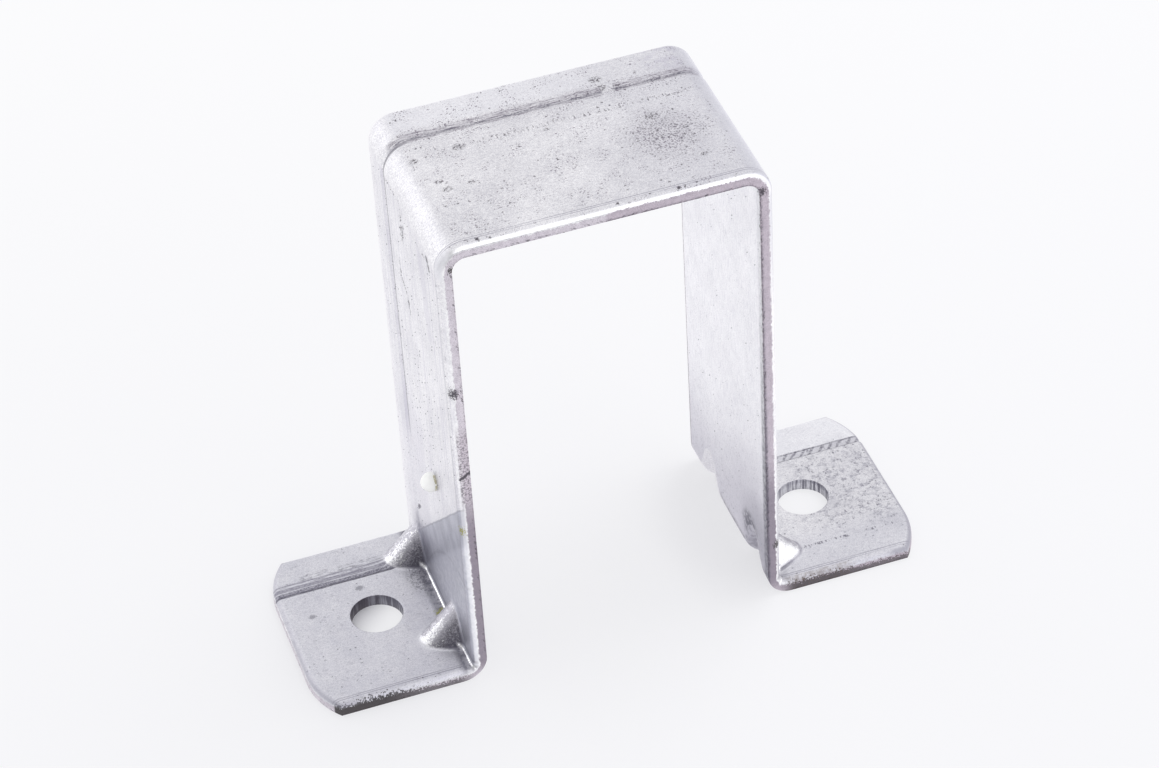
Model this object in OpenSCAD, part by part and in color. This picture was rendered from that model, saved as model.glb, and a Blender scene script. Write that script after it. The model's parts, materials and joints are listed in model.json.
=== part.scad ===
// Rectangular post clamp: one strip of zinc-coated steel, pressed and folded into a hat.
// X runs across the post, Y through the clamp from its front edge to its rear edge, Z up.
// The origin is at the middle of the clamp, on the plane that its two feet stand on.

/* [Strip] */
// Width of the strip, from its front edge to its rear edge
strip_width = 40; // [36:1:60]
// Thickness of the strip
thickness = 2.5; // [2:0.1:3]
// Radius that blanking leaves on the edges of the outer face
edge_radius = 1.3; // [0.6:0.1:1.5]

/* [Post channel] */
// Clear width between the two legs
channel_width = 53.5; // [45:0.5:100]
// Clear height from the underside of the feet to the underside of the crown
channel_height = 94.5; // [50:0.5:200]
// Inside radius of the two folds between the crown and the legs
crown_fold_radius = 2.5; // [1.5:0.1:6]

/* [Feet] */
// Length of a foot beyond the outer face of its leg
foot_length = 28.4; // [26:0.1:60]
// Inside radius of the fold between a leg and its foot
foot_fold_radius = 1; // [0.8:0.1:1.6]
// Outside radius of that fold, where the strip is stretched thinner
foot_fold_outer_radius = 4.6; // [4.2:0.1:5]
// Radius of the arcs that trim the corners of a foot
corner_radius = 15.5; // [13:0.5:20]
// Length of the foot's end that each trimming arc takes up
corner_length = 10; // [6:0.5:12]

/* [Bolt holes] */
// Diameter of the bolt hole in each foot
hole_diameter = 9.5; // [6:0.1:11]
// Distance from the outer face of the leg to the middle of the bolt hole
hole_offset = 12.1; // [12:0.1:15]

/* [Darts] */
// Length that each stiffening dart reaches along the foot and up the leg
dart_length = 6.9; // [6:0.1:7.5]
// Width of a dart where it crosses the inner corner of the fold
dart_width = 10; // [9:0.1:11]
// Radius along the crest of a dart
dart_crest_radius = 3.6; // [3.2:0.1:3.8]
// Wall of a dart, which pressing stretches thinner than the strip
dart_wall = 2; // [1.8:0.1:2.2]
// Distance from the nearer edge of the strip to the middle of the first dart
dart_inset = 7.4; // [7:0.1:8]
// Distance between the middles of the two darts of one foot
dart_spacing = 22.5; // [20:0.1:24]

/* [Crease] */
// Distance from the rear edge of the strip to the bottom of the crease
crease_inset = 9; // [6:0.1:14]
// Width of the crease
crease_width = 2.4; // [1:0.1:3]
// Depth of the crease
crease_depth = 0.4; // [0.2:0.05:0.6]

/* [Hidden] */

$fn = 96;

// How far a cutting shape runs past the face it cuts
overrun = 1;
// Share of the crease's width that its steep front wall takes up
steep_share = 0.25;

half_width = strip_width / 2;
channel_x = channel_width / 2;
leg_outer_x = channel_x + thickness;
crown_flat = channel_width - 2 * crown_fold_radius;
leg_flat = channel_height - crown_fold_radius - foot_fold_radius - thickness;
foot_flat = foot_length - foot_fold_radius;
corner_centre_y = half_width - corner_length;
// Height of a dart's crest over the inner corner of the fold
dart_height = dart_length / sqrt(2);
// Length of the shapes that are carried along a dart, enough to pass right through the strip
dart_run = 4 * dart_length;
dart_buried_depth = thickness + foot_fold_outer_radius;

// Across the strip: x from the front edge to the rear edge, y = 0 on the outer face.
module strip_section() {
    difference() {
        union() {
            translate([-half_width, -thickness])
                square([strip_width, thickness - edge_radius]);
            translate([edge_radius - half_width, -thickness])
                square([strip_width - 2 * edge_radius, thickness]);
            for (side = [-1, 1])
                translate([side * (half_width - edge_radius), -edge_radius])
                    circle(edge_radius);
        }
        crease_section();
    }
}

// A shallow V with a steep front wall and a long rear wall.
module crease_section() {
    bottom_x = half_width - crease_inset;
    front_x = bottom_x - steep_share * crease_width;
    rear_x = front_x + crease_width;
    polygon([
        [front_x, overrun],
        [front_x, 0],
        [bottom_x, -crease_depth],
        [rear_x, 0],
        [rear_x, overrun]
    ]);
}

// A flat run of strip along +X with its outer face at Z = 0. Its children start at its end.
module flat_run(length) {
    rotate([90, 0, 90])
        linear_extrude(length)
            strip_section();
    translate([length, 0, 0])
        children();
}

// A quarter fold away from the outer face, from +X down to -Z.
module fold_down(radius) {
    outer = radius + thickness;
    translate([0, 0, -outer])
        rotate([0, -90, -90])
            rotate_extrude(angle = 90)
                translate([outer, 0])
                    mirror([1, -1])
                        strip_section();
    translate([outer, 0, -outer])
        rotate([0, 90, 0])
            children();
}

// A quarter fold towards the outer face, from +X up to +Z.
module fold_up(radius) {
    translate([0, 0, radius])
        rotate([0, 90, -90])
            rotate_extrude(angle = 90)
                translate([radius, 0])
                    mirror([1, 1])
                        strip_section();
    translate([radius, 0, radius])
        rotate([0, -90, 0])
            children();
}

// Plan of the flat part of a foot, whose end is trimmed by an arc at each corner.
module foot_plan() {
    translate([0, -half_width - overrun])
        square([foot_flat - corner_radius, strip_width + 2 * overrun]);
    translate([0, -corner_centre_y])
        square([foot_flat, 2 * corner_centre_y]);
    for (side = [-1, 1])
        translate([foot_flat - corner_radius, side * corner_centre_y])
            circle(corner_radius);
}

// What the edge radius removes, with the wall at x = 0 and the outer face at y = 0.
module edge_cutter() {
    difference() {
        translate([-edge_radius, -edge_radius])
            square(edge_radius + overrun);
        translate([-edge_radius, -edge_radius])
            circle(edge_radius);
    }
}

// The edge radius carried along the end of a foot and round its two arcs.
module end_rounding() {
    arc_angle = asin(corner_length / corner_radius) + 5;
    translate([foot_flat, corner_centre_y, 0])
        rotate([90, 0, 0])
            linear_extrude(2 * corner_centre_y)
                edge_cutter();
    for (side = [-1, 1])
        translate([foot_flat - corner_radius, side * corner_centre_y, 0])
            rotate([0, 0, side > 0 ? 0 : -arc_angle])
                rotate_extrude(angle = arc_angle)
                    translate([corner_radius, 0])
                        edge_cutter();
}

module foot() {
    difference() {
        intersection() {
            flat_run(foot_flat);
            translate([0, 0, -thickness - overrun])
                linear_extrude(thickness + 2 * overrun)
                    foot_plan();
        }
        end_rounding();
        translate([hole_offset - foot_fold_radius, 0, -thickness - overrun])
            cylinder(h = thickness + 2 * overrun, d = hole_diameter);
    }
}

// From the end of the crown round to the end of the foot, on the +X side.
module folded_side() {
    translate([crown_flat / 2, 0, channel_height + thickness])
        fold_down(crown_fold_radius)
            flat_run(leg_flat)
                fold_up(foot_fold_radius)
                    foot();
}

// Puts its children at the inner corner of the +X foot's fold, at each dart.
// The first dart of that foot is the one beside the front edge.
module at_darts() {
    for (step = [0, 1])
        translate([leg_outer_x, dart_inset + step * dart_spacing - half_width, thickness])
            children();
}

// Direction of the flank that leaves the base at +half_base and is tangent to the round crest.
function flank_angle(half_base, crest_y, crest_radius) =
    atan2(crest_y, -half_base) - asin(crest_radius / norm([half_base, crest_y]));

// Across a dart, with the inner corner of the fold at the origin and +y away from the metal:
// two straight flanks that are tangent to a round crest.
module dart_section(half_base, height, crest_radius) {
    crest_y = height - crest_radius;
    flank = flank_angle(half_base, crest_y, crest_radius);
    touch_x = crest_radius * sin(flank);
    touch_y = crest_y - crest_radius * cos(flank);
    buried_x = half_base - dart_buried_depth * cos(flank) / sin(flank);
    polygon([
        [-buried_x, -dart_buried_depth],
        [buried_x, -dart_buried_depth],
        [touch_x, touch_y],
        [-touch_x, touch_y]
    ]);
    translate([0, crest_y])
        circle(crest_radius);
}

// Carries a dart's section along its crest, which lies at 45 degrees across the fold.
module along_crest() {
    rotate([0, 45, 0])
        rotate([90, 0, 90])
            linear_extrude(dart_run, center = true)
                children();
}

module dart() {
    rooted_length = dart_length + thickness;
    intersection() {
        translate([-thickness / 2, -dart_width, -thickness / 2])
            cube([rooted_length, 2 * dart_width, rooted_length]);
        along_crest()
            dart_section(dart_width / 2, dart_height, dart_crest_radius);
    }
}

// The hollow that the punch leaves on the far side of the strip, a wall's thickness inside the dart.
module dart_pocket() {
    half_base = dart_width / 2;
    flank = flank_angle(half_base, dart_height - dart_crest_radius, dart_crest_radius);
    along_crest()
        dart_section(
            half_base - dart_wall / sin(flank),
            dart_height - dart_wall,
            dart_crest_radius - dart_wall
        );
}

// What stretching takes off the inside of a foot's fold, at the +X foot.
module fold_relief() {
    reach = foot_fold_outer_radius + overrun;
    span = strip_width + 2 * overrun;
    difference() {
        translate([channel_x - overrun, -span / 2, -overrun])
            cube([reach, span, reach]);
        translate([channel_x + foot_fold_outer_radius, 0, foot_fold_outer_radius])
            rotate([90, 0, 0])
                cylinder(h = 2 * span, r = foot_fold_outer_radius, center = true);
    }
}

// The blank is turned end for end between the two foot strokes of the press.
module both_ends() {
    for (turn = [0, 180])
        rotate([0, 0, turn])
            children();
}

module post_clamp() {
    color("gainsboro")
        difference() {
            union() {
                translate([-crown_flat / 2, 0, channel_height + thickness])
                    flat_run(crown_flat);
                folded_side();
                mirror([1, 0, 0])
                    folded_side();
                both_ends()
                    at_darts()
                        dart();
            }
            both_ends()
                fold_relief();
            both_ends()
                at_darts()
                    dart_pocket();
        }
}

post_clamp();
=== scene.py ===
import json
import math

import bpy
import numpy as np
from mathutils import Matrix, Vector


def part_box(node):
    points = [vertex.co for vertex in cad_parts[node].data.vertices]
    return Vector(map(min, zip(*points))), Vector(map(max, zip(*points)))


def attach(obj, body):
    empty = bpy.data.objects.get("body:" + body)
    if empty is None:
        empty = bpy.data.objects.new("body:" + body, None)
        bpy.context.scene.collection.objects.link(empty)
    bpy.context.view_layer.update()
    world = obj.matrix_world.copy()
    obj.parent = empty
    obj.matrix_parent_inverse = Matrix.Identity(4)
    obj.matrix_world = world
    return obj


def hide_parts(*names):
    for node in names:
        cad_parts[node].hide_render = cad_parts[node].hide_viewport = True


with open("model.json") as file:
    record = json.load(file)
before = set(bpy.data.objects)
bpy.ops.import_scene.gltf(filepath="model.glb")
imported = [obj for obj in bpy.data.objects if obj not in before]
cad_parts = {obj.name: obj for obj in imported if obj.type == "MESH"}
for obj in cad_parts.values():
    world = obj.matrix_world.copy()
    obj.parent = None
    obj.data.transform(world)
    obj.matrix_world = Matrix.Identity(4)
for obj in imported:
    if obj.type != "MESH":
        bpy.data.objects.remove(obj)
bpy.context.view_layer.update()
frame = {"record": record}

# Sizes of the clamp in millimetres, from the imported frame
MM = 0.001
low, high = (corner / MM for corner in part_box("post_clamp"))
mounts = {mount["name"]: mount for mount in frame["record"]["mounts"]}
BOLTS = mounts["foot_bolts"]["dims"]
HALF_WIDTH = high.y
TOP = high.z
THICKNESS = TOP - mounts["crown_underside"]["pos_m"][2] / MM
LEG_INSIDE = mounts["right_leg_inside"]["pos_m"][0] / MM
LEG_OUTSIDE = LEG_INSIDE + THICKNESS
FOOT_LENGTH = high.x - LEG_OUTSIDE
HOLE_X = BOLTS["spacing_x_mm"] / 2
HOLE_RADIUS = BOLTS["hole_r_mm"]

# Sizes of its folds, edges and marks in millimetres, as the solid has them
CROWN_RADIUS = 2.5 + THICKNESS
FOLD_RADIUS = 1.0
EDGE_RADIUS = 1.3
CORNER_RADIUS = 15.5
CORNER_LENGTH = 10.0
CREASE_Y = HALF_WIDTH - 9.0
CREASE_WIDTH = 2.4
CREASE_DEPTH = 0.4
FOLD_UNDERSIDE = 4.6
DART_INSET = 7.4
DART_SPACING = 22.5
DART_WIDTH = 10.0
DART_HEIGHT = 6.9 / math.sqrt(2)
DART_CREST_RADIUS = 3.6
DART_WALL = 2.0

# Spacing of the modelled surface
DART_ZONE = 8.0
DART_START = (TOP - CROWN_RADIUS - THICKNESS - DART_ZONE) / (TOP - CROWN_RADIUS - THICKNESS - FOLD_RADIUS)
DART_SOFT = 0.35
POCKET_SOFT = 1.0
EDGE_STEPS = 7
FRONT_COLUMNS = 82
CREASE_COLUMNS = 14
REAR_COLUMNS = 14
CROWN_ROWS = 16
CROWN_FOLD_ROWS = 14
LEG_ROWS = 40
LOW_LEG_ROWS = 26
FOOT_FOLD_ROWS = 8
NEAR_FOOT_ROWS = 20
FAR_FOOT_ROWS = 22
HOLE_BLOCK = HOLE_RADIUS + 1.3
HOLE_BREAK = 0.15

# Drop of paste on the left leg
BEAD_CENTRE = (-LEG_OUTSIDE - 0.6, -4.2, 34.2)
BEAD_RADII = (1.9, 1.6, 1.95)

# Camera, fitted to the perspective of the photograph
IMAGE_WIDTH = 1159
FOCAL_PIXELS = 3727.5
SENSOR_WIDTH = 36.0
CAMERA_AZIMUTH = math.radians(-16.73)
CAMERA_ELEVATION = math.radians(40.58)
CAMERA_ROLL = math.radians(-3.69)
CAMERA_DISTANCE = 0.6585
CAMERA_TARGET = Vector((0.0002, 0.0020, 0.0420))

# Light of the studio: direction, change in brightness, and width in degrees
STUDIO_LEVEL = 0.95
STUDIO_LOBES = [
    ((-0.65, 0.73, 0.20), 0.52, 34),
    ((0.22, -0.90, 0.37), 0.90, 38),
    ((0.95, -0.30, 0.05), 0.40, 45),
    ((-0.62, -0.76, 0.15), -0.55, 48),
]
DARK_SIDE = (-0.63, -0.77, 0.0)
# Where the paper is in deeper shadow, or paler: centre and radii in metres, and depth
DEEP_SHADOWS = [
    ((0.024, 0.0, 0.0), (0.014, 0.032, 1.0), 0.12),
    ((-0.046, 0.006, 0.0), (0.010, 0.010, 1.0), 0.52),
    ((-0.039, -0.002, 0.0), (0.009, 0.009, 1.0), -0.20),
    ((-0.044, -0.003, 0.0), (0.026, 0.034, 1.0), 0.18),
]


def linear(red, green, blue):
    """A colour given as screen values from 0 to 255, as the linear values that Blender works in."""
    channels = []
    for value in (red, green, blue):
        share = value / 255
        channels.append(share / 12.92 if share <= 0.04045 else ((share + 0.055) / 1.055) ** 2.4)
    return (*channels, 1.0)


class Wire:
    """A shader socket on which Python arithmetic adds Math nodes."""

    def __init__(self, graph, socket):
        self.graph = graph
        self.socket = socket

    def __repr__(self):
        return f"{self.socket.node.name} {self.socket.identifier}"

    def math(self, operation, *values, clamp=False):
        inputs = dict(enumerate(values))
        return self.graph.node("ShaderNodeMath", {"operation": operation, "use_clamp": clamp}, inputs)

    def __add__(self, other):
        return self.math("ADD", self, other)

    def __radd__(self, other):
        return self.math("ADD", other, self)

    def __sub__(self, other):
        return self.math("SUBTRACT", self, other)

    def __rsub__(self, other):
        return self.math("SUBTRACT", other, self)

    def __mul__(self, other):
        return self.math("MULTIPLY", self, other)

    def __rmul__(self, other):
        return self.math("MULTIPLY", other, self)

    def __truediv__(self, other):
        return self.math("DIVIDE", self, other)

    def __neg__(self):
        return self.math("MULTIPLY", self, -1.0)

    def __abs__(self):
        return self.math("ABSOLUTE", self)

    def least(self, other):
        return self.math("MINIMUM", self, other)

    def most(self, other):
        return self.math("MAXIMUM", self, other)

    def clamped(self):
        """The value, held between 0 and 1."""
        return self.math("ADD", self, 0.0, clamp=True)

    def rise(self, start, end):
        """A smooth step from 0 at start to 1 at end. Where end is the lower value, it falls."""
        return self.graph.node(
            "ShaderNodeMapRange",
            {"interpolation_type": "SMOOTHSTEP"},
            {"Value": self, "From Min": start, "From Max": end},
        )

    def band(self, start, end, soft):
        """1 between start and end, with a soft border outside each."""
        return self.rise(start - soft, start) * self.rise(end + soft, end)


class Graph:
    """The node tree of a material or of the world. Nodes that would be alike are made once."""

    def __init__(self, owner):
        owner.use_nodes = True
        self.tree = owner.node_tree
        self.tree.nodes.clear()
        self.made = {}

    def node(self, kind, settings=None, inputs=None, output=0):
        """Adds a node of a type, gives it its settings, then feeds its sockets."""
        settings, inputs = settings or {}, inputs or {}
        key = repr((kind, settings, inputs))
        if key not in self.made:
            made = self.tree.nodes.new(kind)
            for name, value in settings.items():
                setattr(made, name, value)
            for name, value in inputs.items():
                if isinstance(value, Wire):
                    self.tree.links.new(value.socket, made.inputs[name])
                else:
                    made.inputs[name].default_value = value
            self.made[key] = made
        node = self.made[key]
        return Wire(self, node.outputs[output]) if node.outputs else node

    def vector(self, x, y, z):
        return self.node("ShaderNodeCombineXYZ", None, {"X": x, "Y": y, "Z": z})

    def axes(self, vector):
        return [self.node("ShaderNodeSeparateXYZ", None, {0: vector}, axis) for axis in range(3)]

    def arrow(self, operation, *values, output=0):
        """A Vector Math node."""
        return self.node("ShaderNodeVectorMath", {"operation": operation}, dict(enumerate(values)), output)

    def noise(self, vector, scale, detail=2.0, roughness=0.5, distortion=0.0):
        """Cloudy noise around 0.5, with scale in features to the millimetre."""
        inputs = {
            "Vector": vector,
            "Scale": scale,
            "Detail": detail,
            "Roughness": roughness,
            "Distortion": distortion,
        }
        return self.node("ShaderNodeTexNoise", None, inputs)

    def blend(self, factor, first, second):
        """A colour between first, at factor 0, and second, at factor 1."""
        return self.node("ShaderNodeMix", {"data_type": "RGBA"}, {"Factor": factor, 6: first, 7: second}, 2)

    def length(self, a, b):
        """Length of the vector (a, b)."""
        return self.arrow("LENGTH", self.vector(a, b, 0.0), output="Value")

    def scaled(self, vector, factor):
        """A vector times a number."""
        return self.node("ShaderNodeVectorMath", {"operation": "SCALE"}, {0: vector, "Scale": factor})


# Looks of the clamp's marks, and of the light and shade painted on it: colour, metallic and roughness
BARE_STEEL = (linear(200, 190, 200), 0.7, 0.42)
# Pale zinc, also laid as a painted reflection or glint
PALE_ZINC_AND_SHEEN = (linear(245, 245, 250), 0.9, 0.30)
CHALKY_ZINC = (linear(238, 238, 243), 0.1, 0.6)
LILAC = (linear(196, 193, 206), 0.8, 0.45)
# Grey zinc, also laid as painted shade
GREY_ZINC_AND_SHADE = (linear(190, 190, 202), 0.9, 0.40)
# Dull zinc, also laid as painted shade and in the painted reflection on the left leg
DULL_ZINC_AND_SHADE = (linear(150, 150, 162), 0.8, 0.45)
# Painted reflection of the left foot on the left leg: its grey patch, and its darker parts
FOOT_REFLECTION = (linear(186, 189, 202), 0.85, 0.38)
DARK_REFLECTION = (linear(140, 139, 153), 0.8, 0.45)
SHADED_ZINC = (linear(186, 183, 195), 0.8, 0.40)
GREY_LINE = (linear(150, 148, 160), 0.5, 0.55)
DARK_LINE = (linear(92, 90, 104), 0.4, 0.6)
MAUVE_DIRT = (linear(112, 104, 118), 0.2, 0.7)
# Dark dirt, also laid as painted shade in the left foot's bolt hole
DARK_DIRT_AND_SHADE = (linear(64, 58, 68), 0.1, 0.7)
BLACK_GRIME = (linear(40, 34, 36), 0.1, 0.6)
BROWN_GRIME = (linear(104, 88, 76), 0.1, 0.7)
OLIVE_CRUST = (linear(158, 156, 66), 0.0, 0.7)
# Painted shade in the corner beside the feet's folds
FOLD_SHADE = (linear(110, 108, 120), 0.5, 0.5)
DART_STEEL = (linear(186, 184, 192), 0.9, 0.35)
# Painted light: shade for the darts' front flanks, then white for highlights
DART_FLANK_SHADE = (linear(84, 82, 92), 0.6, 0.45)
PAINTED_HIGHLIGHT = (linear(253, 253, 254), 1.0, 0.20)

# Blobs of dirt on the crown and on the feet: centre and radius
CROWN_BLOBS = [
    ((15.6, 1.2), 1.1),
    ((-17.1, 5.6), 1.0),
    ((-25.3, 4.6), 0.8),
    ((-23.0, -2.3), 0.6),
    ((-22.3, -4.7), 0.8),
    ((-2.0, 4.5), 0.5),
    ((20.1, -12.0), 0.6),
    ((10.2, 14.6), 1.0),
    ((10.4, 12.1), 0.8),
    ((13.2, 11.5), 0.8),
    ((-18.0, -4.5), 0.6),
]
FOOT_BLOBS = [
    ((-42.4, 7.6), 1.0),
    ((-52.5, 3.5), 0.9),
    ((-36.0, 12.0), 0.7),
]
# Spots on the front edge: x and z, radius and look
EDGE_SPOTS = [
    ((-26.9, 92.6), 0.9, BLACK_GRIME),
    ((-28.4, 66.5), 1.4, DARK_DIRT_AND_SHADE),
    ((-29.3, 35.2), 1.1, OLIVE_CRUST),
    ((28.6, 12.2), 1.1, BLACK_GRIME),
    ((27.2, 92.6), 1.0, DARK_DIRT_AND_SHADE),
]
# Dirt on the left leg: y and z of both ends of each stroke, its width and its strength
LEFT_LEG_STROKES = [
    ((10.0, 91.0), (1.0, 91.8), 0.9, 0.6),
    ((1.0, 91.8), (0.8, 88.0), 2.2, 0.5),
    ((0.8, 88.0), (1.9, 83.6), 2.6, 0.65),
    ((4.9, 77.0), (4.9, 73.8), 1.2, 0.7),
    ((4.9, 73.6), (2.0, 72.0), 1.1, 0.8),
    ((1.8, 71.6), (1.2, 68.4), 1.4, 0.8),
    ((-13.8, 91.4), (-14.9, 89.6), 1.4, 0.8),
    ((-3.0, 89.6), (-13.0, 90.5), 0.7, 0.6),
    ((-13.4, 73.0), (-14.6, 73.9), 0.9, 0.7),
    ((-1.7, 61.0), (-2.9, 61.9), 0.8, 0.7),
    ((8.4, 17.5), (10.0, 16.2), 1.1, 0.95),
]


def set_world():
    """A white studio. Each lobe brightens or darkens the light that comes from round its direction."""
    world = bpy.data.worlds.new("studio")
    bpy.context.scene.world = world
    graph = Graph(world)
    direction = graph.node("ShaderNodeTexCoord", None, None, "Generated")
    level = STUDIO_LEVEL
    for aim, change, spread in STUDIO_LOBES:
        facing = graph.arrow("DOT_PRODUCT", direction, Vector(aim).normalized(), output="Value")
        level = level + change * facing.rise(math.cos(math.radians(spread)), 1.0)
    camera_ray = graph.node("ShaderNodeLightPath", None, None, "Is Camera Ray")
    light = graph.scaled((0.98, 0.98, 1.0), camera_ray.most(level))
    background = graph.node("ShaderNodeBackground", None, {"Color": light})
    graph.node("ShaderNodeOutputWorld", None, {"Surface": background})


def add_camera():
    """Looks at the target from its azimuth and elevation, rolled about its own axis."""
    back = Vector((
        math.sin(CAMERA_AZIMUTH) * math.cos(CAMERA_ELEVATION),
        -math.cos(CAMERA_AZIMUTH) * math.cos(CAMERA_ELEVATION),
        math.sin(CAMERA_ELEVATION),
    ))
    level_right = Vector((0, 0, 1)).cross(back).normalized()
    level_up = back.cross(level_right)
    right = math.cos(CAMERA_ROLL) * level_right + math.sin(CAMERA_ROLL) * level_up
    up = math.cos(CAMERA_ROLL) * level_up - math.sin(CAMERA_ROLL) * level_right
    data = bpy.data.cameras.new("photo_camera")
    data.sensor_width = SENSOR_WIDTH
    data.lens = SENSOR_WIDTH * FOCAL_PIXELS / IMAGE_WIDTH
    data.clip_end = 20.0
    camera = bpy.data.objects.new("photo_camera", data)
    turn = Matrix((right, up, back)).transposed()
    camera.matrix_world = Matrix.Translation(CAMERA_TARGET + CAMERA_DISTANCE * back) @ turn.to_4x4()
    bpy.context.scene.collection.objects.link(camera)
    bpy.context.scene.camera = camera


def add_softbox(name, position, size, power):
    """A square area lamp that faces the middle of the clamp."""
    data = bpy.data.lights.new(name, "AREA")
    data.size = size
    data.energy = power
    lamp = bpy.data.objects.new(name, data)
    lamp.visible_glossy = False
    place = Vector(position)
    aim = (CAMERA_TARGET - place).to_track_quat("-Z", "Y")
    lamp.matrix_world = Matrix.Translation(place) @ aim.to_matrix().to_4x4()
    bpy.context.scene.collection.objects.link(lamp)


def floor_material():
    """White paper. A share of plain white keeps it pale, and the rest takes the shadow.

    The shadow is let through more where the clamp stands close over the paper. What the metal mirrors is
    whiter still, except on the side of the studio that is in the dark.
    """
    material = bpy.data.materials.new("studio_paper")
    graph = Graph(material)
    place = graph.node("ShaderNodeTexCoord", None, None, "Object")
    paper = graph.node("ShaderNodeBsdfDiffuse", None, {"Color": linear(232, 232, 235)})
    camera_ray = graph.node("ShaderNodeLightPath", None, None, "Is Camera Ray")
    glossy_ray = graph.node("ShaderNodeLightPath", None, None, "Is Glossy Ray")

    _, back, _ = graph.axes(place)
    seen = graph.blend(back.rise(-0.05, 0.35), linear(247, 247, 249), linear(253, 253, 253))
    towards_dark = graph.arrow("DOT_PRODUCT", place, DARK_SIDE, output="Value")
    mirrored = graph.blend(towards_dark.rise(0.12, 0.30), (1.25, 1.25, 1.26, 1.0), (0.2, 0.2, 0.22, 1.0))
    glow = graph.node("ShaderNodeEmission", None, {"Color": graph.blend(glossy_ray, seen, mirrored)})

    plain = 0.76
    for centre, radii, amount in DEEP_SHADOWS:
        offset = graph.arrow("DIVIDE", graph.arrow("SUBTRACT", place, centre), radii)
        plain = plain - amount * graph.arrow("LENGTH", offset, output="Value").rise(1.0, 0.3)
    share = (camera_ray * plain).most(glossy_ray * 0.85)
    surface = graph.node("ShaderNodeMixShader", None, {0: share, 1: paper, 2: glow})
    graph.node("ShaderNodeOutputMaterial", None, {"Surface": surface})
    return material


def add_floor():
    half = 3.0
    mesh = bpy.data.meshes.new("floor")
    corners = [(-half, -half, 0), (half, -half, 0), (half, half, 0), (-half, half, 0)]
    mesh.from_pydata(corners, [], [(0, 1, 2, 3)])
    mesh.materials.append(floor_material())
    floor = bpy.data.objects.new("floor", mesh)
    bpy.context.scene.collection.objects.link(floor)


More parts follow.
